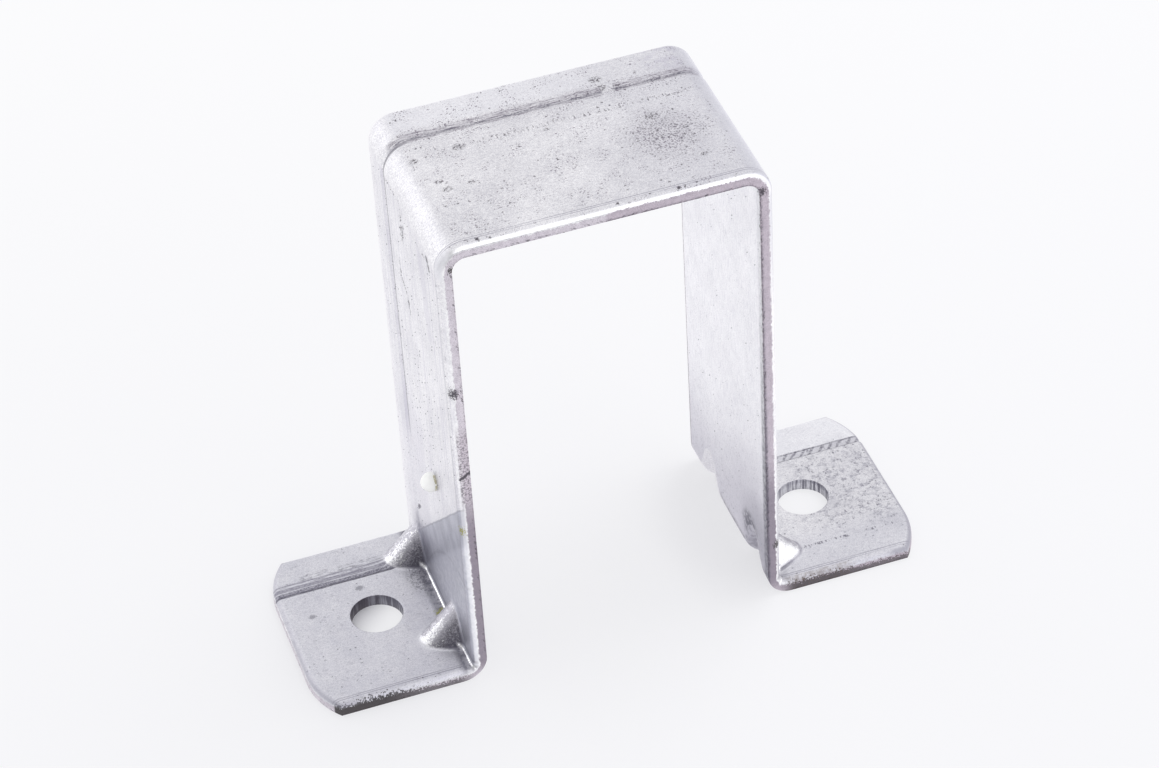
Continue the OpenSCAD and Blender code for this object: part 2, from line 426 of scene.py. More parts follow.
class ClampGraph(Graph):
    """The clamp's node tree, with the coordinates of its folded strip in millimetres.

    x, y and z are the place itself, out and up are measured from the corner between leg and foot, and
    along is the distance along the strip from the middle of the crown. depth is measured under the outer
    face, edge_gap from the strip's outline and hole_gap from the bolt hole. across is measured over a
    dart, from 0 on its crest, and is negative on its front flank.
    """

    def __init__(self, owner):
        super().__init__(owner)
        coordinates = self.node("ShaderNodeTexCoord", None, None, "Object")
        self.place = self.scaled(coordinates, 1 / MM)
        self.x, self.y, self.z = self.axes(self.place)
        self.side = self.x.math("SIGN", self.x)
        self.left = self.x.rise(0.5, -0.5)
        self.right = 1.0 - self.left
        self.out = abs(self.x) - LEG_OUTSIDE
        self.up = self.z - THICKNESS
        self.along = abs(self.x) + (TOP - self.z)
        self.depth = self.strip_depth()
        self.edge_gap = self.distance_from_edge()
        self.hole_gap = self.length(abs(self.x) - HOLE_X, self.y) - HOLE_RADIUS
        self.across = self.dart_offset()
        self.pocket = self.pocket_mask()
        self.outer = self.depth.rise(1.1, 0.6) * (1.0 - self.pocket)
        self.inner = self.depth.rise(1.9, 2.3).most(self.pocket)
        self.on_foot = self.out.rise(0.0, 1.0) * self.up.rise(1.0, 0.2)
        self.on_leg = self.along.rise(LEG_OUTSIDE + 4, LEG_OUTSIDE + 6) * self.out.rise(0.6, 0.1)
        self.dart = self.dart_mask() * (1.0 - self.pocket)
        self.strip = self.vector(self.along, self.y, self.left * 50.0)

        self.tiny = self.noise(self.place, 5.5, 2.0, 0.6)
        self.small = self.noise(self.place, 2.7, 3.0, 0.65)
        self.medium = self.noise(self.place, 0.9, 3.0, 0.65)
        self.large = self.noise(self.place, 0.28, 3.0, 0.55)
        self.grain = self.streaks(0.4, 1.2, 3.0)
        self.fibres = self.streaks(0.25, 3.0)
        self.long_streaks = self.streaks(0.6, 20.0)
        self.specks = self.small.rise(0.53, 0.60)
        self.rare_specks = self.small.rise(0.61, 0.66)
        self.patches = self.medium.rise(0.44, 0.58)
        run = self.along * self.side + 1.0 * (self.tiny - 0.5)
        self.flat = self.vector(run, self.y + self.depth + 1.0 * (self.small - 0.5), 0.0)
        self.leg_flat = self.vector(self.y * 0.4 + self.side, self.z + self.y * 0.8, 0.0)
        tall = self.arrow("MULTIPLY", self.place, (2.2, 0.5, 1.0))
        self.ticks = self.noise(tall, 1.0, 2.0, 0.7).rise(0.53, 0.61)

    def strip_depth(self):
        """Depth under the outer face: round the crown's folds above, round the feet's folds below."""
        crown_a = (abs(self.x) - (LEG_OUTSIDE - CROWN_RADIUS)).most(0.0)
        crown_b = (self.z - (TOP - CROWN_RADIUS)).most(0.0)
        hat = CROWN_RADIUS - self.length(crown_a, crown_b)
        foot_a = (FOLD_RADIUS - self.out).most(0.0)
        foot_b = (FOLD_RADIUS - self.up).most(0.0)
        fold = self.length(foot_a, foot_b) - FOLD_RADIUS
        upper = self.z.rise(TOP / 2, TOP / 2 + 1)
        return fold + upper * (hat - fold)

    def distance_from_edge(self):
        """Distance from the strip's side edges and from the trimmed ends of its feet."""
        side = HALF_WIDTH - abs(self.y)
        end_a = (self.out - (FOOT_LENGTH - CORNER_RADIUS)).most(0.0)
        end_b = (abs(self.y) - (HALF_WIDTH - CORNER_LENGTH)).most(0.0)
        return side.least(CORNER_RADIUS - self.length(end_a, end_b))

    def dart_offset(self):
        """Distance along y from the crest of the nearer dart. Both feet have theirs turned end for end."""
        first = DART_INSET - HALF_WIDTH
        turned = self.y * self.side
        second = turned.math("GREATER_THAN", turned, first + DART_SPACING / 2)
        return self.y - self.side * (first + DART_SPACING * second)

    def pocket_mask(self):
        """1 in the hollows behind the darts, which lie well under the darts' outer surface."""
        half_base = DART_WIDTH / 2
        crest = DART_HEIGHT - DART_CREST_RADIUS
        flank = flank_angle(half_base, DART_HEIGHT, DART_CREST_RADIUS)
        touch = DART_CREST_RADIUS * math.sin(flank)
        slope = -math.cos(flank) / math.sin(flank)
        gap = abs(self.across)
        squared = (DART_CREST_RADIUS**2 - gap * gap).most(0.0)
        round_part = crest + squared.math("SQRT", squared)
        straight_part = (half_base - gap) / slope
        on_crest = gap.math("LESS_THAN", gap, touch)
        surface = straight_part + on_crest * (round_part - straight_part)
        under = surface - (self.out + self.up) / math.sqrt(2)
        return under.rise(0.8, 1.2) * self.out.most(self.up).rise(9.5, 8.0)

    def dart_mask(self):
        """1 on the pressed darts, which stand clear of both the leg and the foot."""
        near = self.out.least(self.up)
        far = self.out.most(self.up)
        return near.rise(0.05, 0.5) * far.rise(FOLD_RADIUS, FOLD_RADIUS + 0.5) * far.rise(8.0, 7.0)

    def spot(self, centre, radii):
        """1 at the middle of an ellipsoid, falling to 0 at its surface and below 0 outside."""
        offset = self.arrow("SUBTRACT", self.place, centre)
        share = self.arrow("DIVIDE", offset, radii)
        return 1.0 - self.arrow("LENGTH", share, output="Value")

    def stroke(self, start, end, width):
        """1 on the line between two points, falling to 0 at half its width."""
        start, end = Vector(start), Vector(end)
        run = end - start
        offset = self.arrow("SUBTRACT", self.place, start)
        share = self.arrow("DOT_PRODUCT", offset, run / run.length_squared, output="Value").clamped()
        gap = self.arrow("DISTANCE", offset, self.scaled(run, share), output="Value")
        return 1.0 - gap * (2 / width)

    def ragged(self, mark, amount):
        """Eats into the border of a spot or stroke."""
        return (mark + amount * (self.small + self.tiny - 1.0)).rise(0.15, 0.40)

    def streaks(self, width, length, detail=3.0):
        """Noise that is drawn out along the strip."""
        stretched = self.arrow("MULTIPLY", self.strip, (1 / length, 1 / width, 1 / width))
        return self.noise(stretched, 1.0, detail, 0.6)

    def dots(self, surface, per_mm, radius, density):
        """Crisp specks of uneven size, one in each cell of a pattern for which density allows it."""
        cells = {"voronoi_dimensions": "2D"}
        inputs = {"Vector": surface, "Scale": per_mm}
        gap = self.node("ShaderNodeTexVoronoi", cells, inputs, 0)
        chance, size, _ = self.axes(self.node("ShaderNodeTexVoronoi", cells, inputs, 1))
        edge = radius * per_mm
        inside = (edge * (0.4 + 0.6 * size) - gap).rise(0.0, 0.35 * edge)
        return inside * (density - chance).rise(0.0, 0.02)


class Finish:
    """How the surface looks. Each mark is laid over what is there already."""

    def __init__(self, graph, colour, metallic, roughness):
        self.graph = graph
        self.colour = colour
        self.gloss = graph.vector(metallic, roughness, 0.0)

    def lay(self, mask, look):
        """Covers the surface where mask is 1."""
        colour, metallic, roughness = look
        self.colour = self.graph.blend(mask, self.colour, colour)
        self.gloss = self.graph.blend(mask, self.gloss, (metallic, roughness, 0.0, 1.0))


def sheared_edges(g, lay):
    """The walls that blanking left: a rolled rim with a painted highlight, duller on the feet, bare mauve
    steel, dark fringes and grime.
    """
    wall = g.edge_gap.rise(0.3, 0.1) * (1.0 - g.dart)
    feet = g.out.rise(-1.0, 3.0) * g.up.rise(1.0, 0.4)
    legs = (1.0 - feet) * g.on_leg
    rough = 0.9 * (g.medium - 0.5) + 0.6 * (g.small - 0.5) + 0.5 * (g.tiny - 0.5)
    front = g.y.rise(0.0, -1.0)
    # Painted highlight on the rolled rim of the front edges, toned down with painted shade on the feet
    rim = g.edge_gap.rise(0.6, 0.35) * (g.depth + rough).rise(1.3, 1.1) * (1.0 - g.dart) * front
    lay(rim * (1.0 - feet) * (0.6 - 0.3 * legs), PAINTED_HIGHLIGHT)
    lay(rim * feet * (0.30 + 0.1 * g.right), DULL_ZINC_AND_SHADE)
    bare = wall * (g.depth + rough + 0.25 * g.right).rise(1.05, 1.25)
    lay(bare, BARE_STEEL)
    low = (g.z - 12.0 * g.left).rise(36.0, 22.0) * g.z.rise(0.0, 4.0)
    lay(bare * g.left * (1.0 - low) * 0.3, PALE_ZINC_AND_SHEEN)
    lay(bare * (0.05 * g.right + 0.6 * low), MAUVE_DIRT)
    lay(bare * (0.34 * g.tiny.rise(0.48, 0.62) + 0.12 * g.patches), MAUVE_DIRT)
    fringe = wall * g.depth.rise(2.15, 2.4)
    lay(fringe * g.small.rise(0.40, 0.50) * (0.15 + 0.45 * g.right), DARK_DIRT_AND_SHADE)
    margin = g.inner * g.right * g.edge_gap.rise(2.2, 1.2) * front * g.out.rise(0.4, -0.4)
    lay(margin * (0.15 + 0.55 * g.z.rise(85.0, 20.0)) * (0.6 + 0.4 * g.patches), DARK_LINE)
    inner_line = fringe.most(g.inner * g.edge_gap.rise(0.9, 0.4) * front)
    lay(inner_line * g.dots(g.flat, 1.8, 0.30, 0.5) * 0.9, DARK_DIRT_AND_SHADE)

    front_wall = wall * g.y.rise(-19.0, -19.4)
    leg_front = front_wall * g.left * g.out.rise(0.4, 0.0) * g.z.rise(3.0, 12.0)
    speckled = leg_front * g.z.band(44.0, 55.0, 5.0) * g.depth.rise(0.1, 0.5)
    lay(speckled * 0.6, BARE_STEEL)
    lay(speckled * g.small.rise(0.48, 0.56) * 0.6, DARK_DIRT_AND_SHADE)

    front_rim = g.edge_gap.rise(1.1, 0.8) * g.y.rise(-18.6, -18.9) * (1.0 - g.dart) * feet
    soiled = g.left * g.out.rise(7.0, 17.0) + 0.6 * g.right * g.out.rise(17.0, 11.0)
    speck = 6.0 * (g.small - 0.5) + 3.0 * (g.tiny - 0.5)
    grime = front_rim * (g.depth + 0.75 * soiled + 0.6 * speck).rise(1.15, 1.45)
    lay(grime * (0.72 + 0.22 * soiled), BLACK_GRIME)
    lay(front_rim * g.right * g.specks * g.depth.rise(0.2, 0.4) * (0.15 + 0.4 * soiled), BROWN_GRIME)
    right_rim = g.right * g.outer * g.edge_gap.rise(1.2, 0.8) * g.y.rise(-18.2, -18.7)
    grimy_rim = right_rim * g.out.band(2.0, 13.0, 2.0)
    lay(grimy_rim * g.dots(g.flat, 1.0, 0.35, 0.5) * 0.9, BLACK_GRIME)
    lay(grimy_rim * (0.12 + 0.3 * g.patches), BROWN_GRIME)
    for (x, z), radius, look in EDGE_SPOTS:
        blob = g.spot((x, -HALF_WIDTH, z), (0.8 * radius, 1.5, radius))
        lay(g.ragged(blob, 3.0) * 0.92, look)
    corner = g.spot((-28.6, -19.6, 94.0), (2.6, 2.0, 4.2)).rise(0.0, 0.5)
    lay(corner * g.outer * 0.6, CHALKY_ZINC)
    scratch = g.stroke((-28.7, -HALF_WIDTH, 47.3), (-26.7, -HALF_WIDTH, 48.7), 0.8)
    lay(g.ragged(scratch, 1.0) * 0.9, DARK_DIRT_AND_SHADE)
    end_rim = g.outer * g.edge_gap.rise(1.0, 0.5) * g.out.rise(20.0, 23.0)
    lay(end_rim * (0.35 + 0.3 * g.right), GREY_LINE)


def crease(g, lay):
    """Dirt rolled into the crease: smeared on the crown, a thin line on the leg, textured on the feet, and a
    grey band of painted shade in the right foot's crease.
    """
    gap = g.y - CREASE_Y - 0.3 * (g.large - 0.5)
    texture = (0.5 * g.fibres + 0.5 * g.small).rise(0.42, 0.56)
    scratches = g.streaks(0.14, 3.5).rise(0.46, 0.56)
    on_crown = g.outer * g.along.rise(LEG_OUTSIDE + 2.0, LEG_OUTSIDE - 2.0)
    broken = 1.0 - (g.x + 2.0 * (g.small - 0.5)).band(10.4, 12.2, 0.3)
    smear = on_crown * broken
    worn = g.large.rise(0.38, 0.60)
    scratched = 0.08 + 0.85 * scratches * (0.5 + 0.5 * texture)
    lay(smear * gap.band(-0.8, 1.3, 0.4) * scratched, MAUVE_DIRT)
    packed = (0.15 + 0.85 * texture) * (0.35 + 0.5 * worn)
    lay(smear * gap.band(-0.3, 0.35, 0.2) * packed, DARK_LINE)
    lay(smear * gap.band(-2.2, 1.8, 0.6) * scratches * g.small.rise(0.50, 0.60) * 0.5, MAUVE_DIRT)

    past_fold = g.along.rise(LEG_OUTSIDE - 6.0, LEG_OUTSIDE - 1.0)
    on_left = g.outer * g.left * (1.0 - g.on_foot) * past_fold * g.z.rise(30.0, 38.0)
    lay(on_left * gap.band(-1.0, -0.5, 0.3) * (0.35 + 0.5 * g.fibres), DARK_LINE)
    lay(on_left * g.on_leg * gap.band(0.8, 1.6, 0.3) * 0.35, LILAC)

    foot = g.outer * g.on_foot * (1.0 - g.dart)
    left_foot = foot * g.left
    lay(left_foot * gap.band(-0.4, 2.0, 0.4) * (0.55 + 0.45 * texture), GREY_LINE)
    lay(left_foot * gap.band(-0.4, 0.5, 0.2) * g.small.rise(0.46, 0.56) * 0.5, DARK_LINE)
    bright_lines = gap.band(1.5, 1.8, 0.12).most(gap.band(0.6, 0.7, 0.12))
    lay(left_foot * bright_lines * g.fibres.rise(0.42, 0.55) * 0.6, PALE_ZINC_AND_SHEEN)
    lay(left_foot * gap.band(-0.9, -0.3, 0.15) * (0.65 + 0.35 * texture), DARK_LINE)
    dashes = g.y.band(13.2, 14.6, 0.3) * g.x.band(-51.0, -37.0, 2.0)
    lay(left_foot * dashes * (0.7 * g.fibres + 0.3 * g.medium).rise(0.50, 0.58) * 0.5, DARK_LINE)

    right_foot = foot * g.right
    height = g.y - CREASE_Y - 0.4
    inside = height.band(-0.8, 0.8, 0.15)
    turn = g.x * 3.4 - height * 3.4 + g.large * 6.0
    twist = turn.math("SINE", turn).rise(0.0, 0.9)
    border = abs(abs(height) - 0.8).rise(0.25, 0.08)
    # Painted shade: a grey band that tones down the highlight inside the crease
    lay(right_foot * inside * 0.3, GREY_LINE)
    lay(right_foot * inside * twist * (0.25 + 0.5 * texture), DARK_LINE)
    lay(right_foot * border * (0.25 + 0.55 * texture), DARK_LINE)


def crown_marks(g, lay):
    """A row of specks, a patch of pits, stray clusters, a paler band behind the crease, and painted shade on
    the right side and the right fold.
    """
    crown = g.outer * g.z.rise(TOP - 0.6, TOP - 0.2)
    clustered = g.large.rise(0.46, 0.62)
    # Painted shade: the crown greyer towards its right side, where less light falls
    lay(crown * g.x.rise(-5.0, 25.0) * 0.25, GREY_ZINC_AND_SHADE)
    lay(crown * g.y.rise(12.5, 14.0) * g.x.rise(16.0, 4.0) * 0.35, PALE_ZINC_AND_SHEEN)
    lay(crown * g.spot((25.0, 17.0, TOP), (9.0, 7.0, 4.0)).rise(0.0, 0.8) * g.patches * 0.6, LILAC)
    # Painted shade on the right fold and the top of the right leg
    right_fold = g.outer * g.right * g.along.rise(LEG_OUTSIDE - 5.5, LEG_OUTSIDE - 1.0)
    lay(right_fold * g.z.rise(TOP - 30, TOP - 12) * 0.6, GREY_ZINC_AND_SHADE)
    lay(crown * g.small.rise(0.56, 0.61) * (0.25 + 0.65 * clustered), MAUVE_DIRT)
    lay(crown * g.dots(g.flat, 1.0, 0.22, 0.06 + 0.20 * clustered) * 0.9, DARK_DIRT_AND_SHADE)
    row = g.y.band(5.5, 6.3, 0.25) * g.x.band(-15.0, 24.0, 1.0)
    lay(crown * row * g.ticks * (0.3 + 0.5 * g.small.rise(0.44, 0.52)), DARK_DIRT_AND_SHADE)
    patch = g.spot((16.0, -4.5, TOP), (10.0, 10.5, 3.0)).rise(0.0, 0.9)
    lay(crown * patch * (0.7 * g.small.rise(0.50, 0.57) + 0.1), MAUVE_DIRT)
    lay(crown * g.dots(g.flat, 1.8, 0.22, 0.45 * patch) * 0.85, DARK_DIRT_AND_SHADE)
    for centre, radius in CROWN_BLOBS:
        blob = g.spot((*centre, TOP), (1.3 * radius, radius, 1.0)).rise(-0.2, 0.5)
        lay(crown * blob * (0.1 + 0.8 * g.small.rise(0.49, 0.54)), DARK_DIRT_AND_SHADE)


def edge_lines(g, lay):
    """The fine double line that runs along the outer face, just inside its front edge."""
    double = abs(abs(g.y + HALF_WIDTH - 1.55) - 0.22).rise(0.15, 0.03)
    lay(g.outer * double * (0.35 + 0.5 * g.long_streaks.rise(0.40, 0.6)), GREY_LINE)
    nicks = g.y.band(-19.2, -18.6, 0.15) * (1.0 - g.on_leg)
    lay(g.outer * nicks * g.dots(g.flat, 1.0, 0.45, 0.35 * g.patches) * 0.9, DARK_DIRT_AND_SHADE)


def left_leg_marks(g, lay):
    """Streaks down the leg, strokes of dirt by the fold, specks, a painted reflection of the foot on the leg
    above it, and painted shade at the bottom of the leg.
    """
    leg = g.outer * g.on_leg * g.left
    clear = g.z.rise(22.0, 34.0)
    lay(leg * (0.08 + 0.40 * clear * g.long_streaks.rise(0.50, 0.66)), LILAC)
    lay(leg * g.fibres.rise(0.58, 0.68) * 0.4 * clear, GREY_LINE)
    scattered = 0.04 + 0.20 * g.large.rise(0.45, 0.60)
    chain = g.spot((-LEG_OUTSIDE, 0.0, 47.0), (2.0, 12.0, 16.0)).rise(0.0, 0.5)
    lay(leg * g.dots(g.leg_flat, 1.4, 0.18, scattered + 0.25 * chain) * 0.8, DARK_LINE)
    strokes = leg * 0.0
    for start, end, width, strength in LEFT_LEG_STROKES:
        mark = g.stroke((-LEG_OUTSIDE, *start), (-LEG_OUTSIDE, *end), width)
        strokes = strokes.most(strength * mark.rise(-0.2, 0.4))
    crumbs = (0.5 * g.small + 0.5 * g.medium + 0.3 * strokes).rise(0.71, 0.78)
    grains = g.dots(g.leg_flat, 1.4, 0.28, 0.55)
    lay(leg * strokes * crumbs.most(grains), DARK_DIRT_AND_SHADE)
    soft = g.stroke((-LEG_OUTSIDE, -9.6, 88.0), (-LEG_OUTSIDE, -11.0, 73.0), 4.5)
    lay(leg * (soft + 2.0 * (g.fibres - 0.5)).rise(0.0, 0.6) * 0.35, LILAC)
    lay(leg * g.z.rise(49.0, 40.0) * (0.12 + 0.18 * g.y.band(3.0, 14.0, 3.0)), LILAC)

    # Painted reflection of the foot, its crease and its rear dart in the leg: a grey patch with darker edges
    # and pale streaks
    line = g.y + g.z + 0.8 * (g.large - 0.5)
    reflected_patch = leg * line.rise(20.9, 20.3)
    lay(reflected_patch * (0.45 + 0.35 * g.large), FOOT_REFLECTION)
    lay(reflected_patch * line.band(13.0, 20.0, 1.5) * (0.15 + 0.35 * g.large.rise(0.35, 0.65)), DULL_ZINC_AND_SHADE)
    reflected_edges = abs(line - 20.5).rise(0.35, 0.1).most(abs(line + 0.03 * g.y * g.y - 13.5).rise(0.5, 0.1) * 0.6)
    lay(leg * reflected_edges * 0.30, DARK_LINE)
    pale = 0.35 * g.small.rise(0.50, 0.60) + 0.3 * g.patches
    lay(reflected_patch * line.rise(13.0, 10.0) * pale, PALE_ZINC_AND_SHEEN)
    # Painted reflection of the rear dart, dark, beside it on the leg
    beside_dart = g.spot((-LEG_OUTSIDE, 9.0, 8.5), (2.0, 8.5, 8.0)).rise(0.0, 0.9)
    lay(leg * beside_dart * (0.5 + 0.4 * g.patches), DARK_REFLECTION)
    lay(reflected_patch * g.small.rise(0.52, 0.60) * 0.3, DARK_REFLECTION)
    # Painted shade along the bottom of the leg, by the fold
    lay(leg * g.up.rise(5.0, 0.5) * (0.2 + 0.3 * g.patches), DULL_ZINC_AND_SHADE)


def right_leg_marks(g, lay):
    """The inner face of the right leg: near white, partly a painted reflection of the paper, with upright
    grain, painted shade low down and to the front, and dented pockets below in painted shade.
    """
    leg = g.inner * g.right * g.out.rise(0.5, -0.5) * (1.0 - g.pocket)
    # Painted reflection: the whole face paler, as it mirrors the white paper
    lay(leg * 0.35, PALE_ZINC_AND_SHEEN)
    lay(leg * g.fibres.rise(0.48, 0.64) * 0.35, LILAC)
    # Painted shade, deeper towards the front and towards the foot, and in the front corner by the foot
    low = g.z.rise(46.0, 8.0)
    lay(leg * g.y.rise(10.0, -14.0) * low * (0.55 + 0.4 * g.large), SHADED_ZINC)
    lay(leg * g.z.rise(30.0, 3.0) * (0.55 + 0.4 * g.large), SHADED_ZINC)
    near_corner = g.spot((LEG_INSIDE, -16.0, 8.0), (2.0, 11.0, 16.0)).rise(0.0, 0.8)
    lay(leg * near_corner * (0.35 + 0.3 * g.medium), GREY_LINE)
    lay(leg * low * (0.35 * g.medium.rise(0.58, 0.70) + 0.3 * g.small.rise(0.52, 0.62)), GREY_LINE)
    lay(leg * g.rare_specks * (0.2 + 0.5 * g.large.rise(0.45, 0.60)), GREY_LINE)
    lay(leg * g.dots(g.leg_flat, 1.4, 0.18, 0.04) * 0.6, DARK_LINE)
    # Painted shade along the inner fold between the pockets, and in the dents
    fold = g.inner * g.right * g.z.rise(5.2, 3.4) * g.y.band(-18.0, 4.0, 2.0) * g.out.rise(0.0, -0.8)
    lay(fold * (0.4 + 0.4 * g.patches), DARK_LINE)
    dents = leg * g.spot((LEG_INSIDE, -11.2, 9.5), (2.0, 4.6, 4.6)).rise(0.0, 0.6)
    lay(dents * (g.medium + 0.5 * (g.fibres - 0.5)).rise(0.35, 0.50) * 0.8, DARK_LINE)
    # Painted shade in the pockets behind the darts, deepest in the front one
    near = g.y.rise(-4.0, -8.0)
    lay(g.pocket * (0.35 + 0.55 * near), SHADED_ZINC)
    lay(g.pocket * near * (0.35 + 0.5 * g.patches), GREY_LINE)


def foot_marks(g, lay):
    """Handling marks on the feet, painted shade on the left foot and in the corner beside each fold, and a
    painted highlight along the fold.
    """
    foot = g.outer * g.on_foot * (1.0 - g.dart)
    # Painted shade: the left foot greyer, where the leg shades it
    lay(foot * g.left * (0.15 + 0.5 * g.large), GREY_ZINC_AND_SHADE)
    lay(foot * (0.25 * g.medium.rise(0.58, 0.70) + 0.4 * g.rare_specks), GREY_LINE)
    lay(foot * g.dots(g.flat, 1.0, 0.20, 0.10) * 0.7, DARK_LINE)
    lay(foot * g.right * g.y.rise(10.0, 13.0) * 0.45, PALE_ZINC_AND_SHEEN)
    for centre, radius in FOOT_BLOBS:
        blob = g.spot((*centre, THICKNESS), (radius, 0.8 * radius, 1.0))
        lay(foot * g.ragged(blob, 1.6) * 0.5, DARK_LINE)
    soiled = g.right * g.spot((52.0, -1.0, THICKNESS), (15.0, 14.0, 3.0)).rise(-0.2, 0.5)
    lay(foot * soiled * (0.08 + 0.22 * g.medium.rise(0.45, 0.62)), DULL_ZINC_AND_SHADE)
    lay(foot * soiled * g.small.rise(0.50, 0.57) * (0.20 + 0.45 * g.patches), GREY_LINE)
    lay(foot * g.dots(g.flat, 1.8, 0.24, 0.45 * soiled * g.patches) * 0.8, DARK_LINE)
    lay(foot * g.right * g.y.rise(-6.0, -14.0) * 0.35, GREY_ZINC_AND_SHADE)
    dots = g.right * g.y.band(-13.0, -12.6, 0.25) * g.x.band(36.0, 54.5, 1.0)
    lay(foot * dots * g.ticks * 0.8, DARK_LINE)

    # Painted shade in the corner beside the fold, darker on the left, and a painted highlight along the
    # fold's fillet
    corner = g.outer * (1.0 - g.dart) * g.out.most(g.up).rise(4.5, 3.5)
    beside = (g.out + 1.6 * (g.medium - 0.5)).rise(2.7, 1.4) * g.up.rise(0.6, 0.1)
    lay(corner * beside * (0.55 + 0.35 * g.patches) * (0.4 + 0.6 * g.left), FOLD_SHADE)
    mottled = foot * g.left * g.spot((-31.0, 6.0, THICKNESS), (3.6, 6.5, 3.0)).rise(0.0, 0.6)
    lay(mottled * g.small.rise(0.46, 0.56) * 0.6, DARK_LINE)
    lay(corner * g.up.band(0.9, 1.3, 0.2) * 0.45, FOLD_SHADE)
    ridge = (g.out - g.up + 0.3 * (g.medium - 0.5)).band(-0.15, 0.20, 0.12) * g.out.most(g.up).rise(1.2, 1.0)
    lay(corner * ridge, PAINTED_HIGHLIGHT)
    crust = g.spot((-30.4, -4.5, THICKNESS), (1.3, 1.6, 1.2))
    lay(g.ragged(crust, 2.4) * 0.85, OLIVE_CRUST)


def dart_brushing(g):
    """Streaks that run along the darts' crests, at 45 degrees across the fold."""
    crest = g.vector((g.out - g.up) * 0.2, g.y * 1.3, (g.out + g.up) * 1.3)
    return g.noise(crest, 1.0, 3.0, 0.65)


def darts(g, lay):
    """Hammered darts: a painted highlight in streaks by the crest, shading off into painted shade on the
    dark and grainy front flank; on the right darts a painted highlight on the front flank and painted shade
    round the edges; and a painted shadow along the base.
    """
    raised = g.dart * g.out.least(g.up).rise(-0.3, 0.0)
    speckle = 0.8 * (dart_brushing(g) - 0.5) + 1.4 * (g.small - 0.5) + 1.0 * (g.tiny - 0.5)
    front = -g.across / DART_CREST_RADIUS
    low_end = (g.out - g.up) / DART_HEIGHT
    left = raised * g.left
    lay(left, DART_STEEL)
    # Painted shade, darkest on the front flank
    lay(left * (front + 1.2 * speckle).rise(0.0, 1.2), DART_FLANK_SHADE)
    # Painted highlight by the crest, and a painted glint
    shine = 0.32 - abs(front - 0.18) + 0.25 * low_end
    lay(left * (shine + 1.6 * speckle).rise(0.05, 0.5) * 0.9, PAINTED_HIGHLIGHT)
    glint = (speckle - 0.25 * front).rise(0.05, 0.25)
    lay(left * glint * 0.5, PALE_ZINC_AND_SHEEN)
    right = raised * g.right
    lay(right * (0.5 + 0.5 * g.patches), DART_STEEL)
    inside = g.out.least(g.up).rise(0.4, 1.1) * g.out.most(g.up).rise(6.6, 5.8)
    # Painted highlight on the right darts' front flank
    lay(right * inside * (front + 0.9 * speckle).rise(0.1, 0.4), PAINTED_HIGHLIGHT)
    # Painted shade round the right darts' edges
    lay(right * (1.0 - inside) * (0.5 + 0.4 * g.patches), GREY_LINE)
    lay(right * g.rare_specks * 0.5, GREY_LINE)
    # Painted shadow along the darts' base
    base = g.outer * g.out.least(g.up).band(0.15, 0.6, 0.1) * g.out.most(g.up).band(1.2, 6.6, 0.5)
    lay(base * abs(g.across).rise(3.0, 4.0) * 0.6, DARK_LINE)


def bolt_holes(g, lay):
    """The punched walls of the bolt holes, with upright streaks, and painted shade that darkens the left
    foot's hole, most of all its far wall.
    """
    wall = g.hole_gap.rise(0.12, 0.04) * g.up.rise(0.4, 0.0)
    streak = g.noise(g.arrow("MULTIPLY", g.place, (2.4, 2.4, 0.12)), 1.0, 3.0, 0.65)
    # Painted shade: the walls darker in the left foot
    lay(wall * (0.55 + 0.35 * g.left), DULL_ZINC_AND_SHADE)
    lay(wall * (streak + 0.06 * g.left).rise(0.42, 0.60) * 0.8, DARK_LINE)
    # Painted shade on the far wall of the left foot's hole
    shaded = g.left * (-HOLE_X - g.x).rise(-6.0, 2.0)
    lay(wall * shaded * (0.6 + 0.35 * streak.rise(0.35, 0.55)), DARK_DIRT_AND_SHADE)


def zinc_material():
    """Zinc-coated steel: pale mottled coating, bare sheared edges, pits and smears of old dirt, and painted
    highlights, shade and reflections.

    The marks are nearly as many as one material can hold: with 8 more it still renders, and with 11 more the
    clamp comes out black, although the render ends without an error.
    """
    material = bpy.data.materials.new("zinc_steel")
    g = ClampGraph(material)
    cloud = g.noise(g.place, 0.11, 3.0, 0.55)
    tone = 0.5 + 0.8 * (g.grain + cloud - 1.0) + 2.0 * (g.tiny - 0.5) + 1.5 * (g.small - 0.5)
    coating = g.blend(tone, linear(202, 201, 207), linear(255, 254, 255))
    finish = Finish(g, coating, 0.9, 0.30 + 0.25 * g.grain)
    for marks in (right_leg_marks, left_leg_marks, foot_marks, crown_marks, crease, edge_lines,
                  darts, sheared_edges, bolt_holes):
        marks(g, finish.lay)

    metallic, roughness, _ = g.axes(finish.gloss)
    height = 0.5 * g.grain + 0.8 * g.tiny + 0.6 * g.small + 1.5 * g.dart * dart_brushing(g)
    normal = g.node("ShaderNodeBump", None, {"Distance": 0.00003, "Height": height}, "Normal")
    surface = g.node(
        "ShaderNodeBsdfPrincipled",
        None,
        {"Base Color": finish.colour, "Metallic": metallic, "Roughness": roughness, "Normal": normal},
    )
    g.node("ShaderNodeOutputMaterial", None, {"Surface": surface})
    return material


def shares(count):
    """Even steps from 0 to 1, without the 0."""
    return np.arange(1, count + 1) / count


def lattice_noise(u, v, seed):
    """Noise from -1 to 1: a random value at each whole (u, v), blended between them by smooth steps."""
    size = 256
    table = np.random.default_rng(seed).uniform(-1, 1, (size, size))
    column, row = np.floor(u).astype(int), np.floor(v).astype(int)
    across, down = u - column, v - row
    across, down = across * across * (3 - 2 * across), down * down * (3 - 2 * down)
    here, beside = column % size, (column + 1) % size
    top, under = row % size, (row + 1) % size
    near = table[here, top] * (1 - across) + table[beside, top] * across
    far = table[here, under] * (1 - across) + table[beside, under] * across
    return near * (1 - down) + far * down


